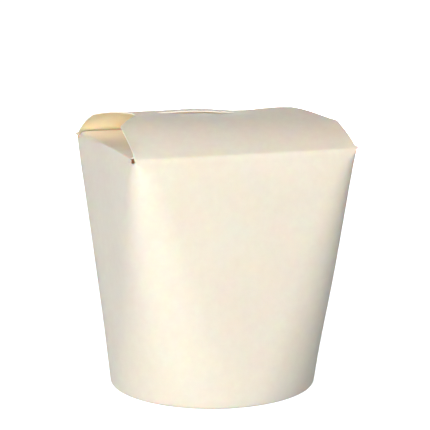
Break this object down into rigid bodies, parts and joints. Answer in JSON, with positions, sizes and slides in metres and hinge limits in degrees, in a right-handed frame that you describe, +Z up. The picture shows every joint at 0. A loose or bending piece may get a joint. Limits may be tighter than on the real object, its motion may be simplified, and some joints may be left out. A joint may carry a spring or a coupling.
{
  "type": "noodle takeaway box",
  "caption": "Shut paperboard noodle box with a round foot, a tapering wall that turns rectangular at the mouth, and an arched roof of interlocked flaps.",
  "frame": {"origin": "centre of the round foot, on the surface the box stands on", "axes": "+Z up, +X to the right seen from the front panel, +Y to the back; the front flap, which lies on top, hinges at -Y"},
  "size_m": [0.098, 0.0892, 0.1188],
  "materials": {
    "cream_board": "cream paperboard, coated both sides, soft satin",
    "foot_board": "cream paperboard, coated, soft satin"
  },
  "bodies": {
    "root": {"carton": "cream_board", "base_disc": "foot_board"}
  },
  "joints": []
}
